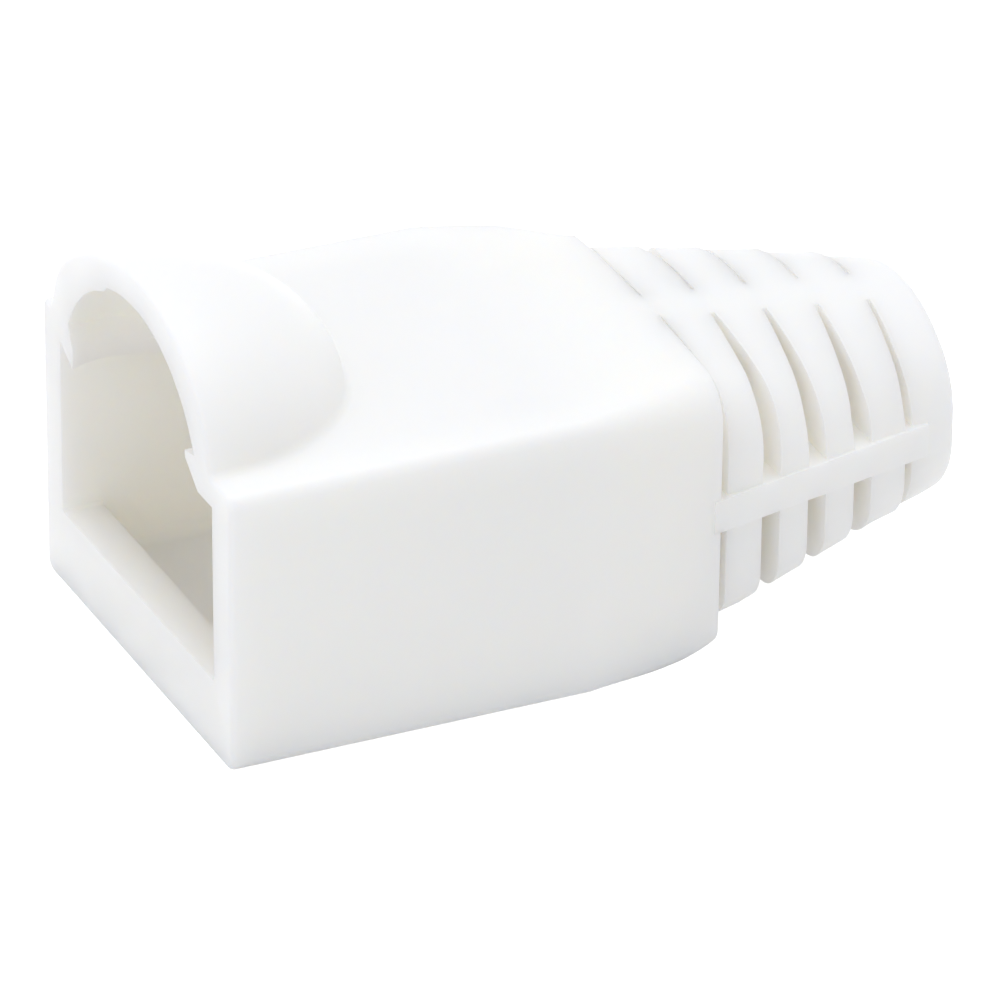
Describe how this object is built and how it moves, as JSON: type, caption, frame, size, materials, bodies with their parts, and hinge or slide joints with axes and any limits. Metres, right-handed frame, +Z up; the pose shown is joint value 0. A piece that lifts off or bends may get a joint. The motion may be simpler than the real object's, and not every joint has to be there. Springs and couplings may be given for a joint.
{
  "type": "rj45 strain relief boot",
  "caption": "One-piece soft white strain relief boot for a modular plug, with a square mouth, a domed hood over the latch and a slotted, tapering cable tail.",
  "frame": {"origin": "on the cable axis, in the plane of the mouth, 5.1 mm above the flat underside", "axes": "+X along the cable, from the mouth to the tail; +Y across the boot; +Z up, towards the hood over the plug's latch"},
  "size_m": [0.0268, 0.0144, 0.0138],
  "materials": {
    "boot_pvc": "satin soft white PVC"
  },
  "bodies": {
    "root": {"strain_relief_boot": "boot_pvc"}
  },
  "joints": []
}
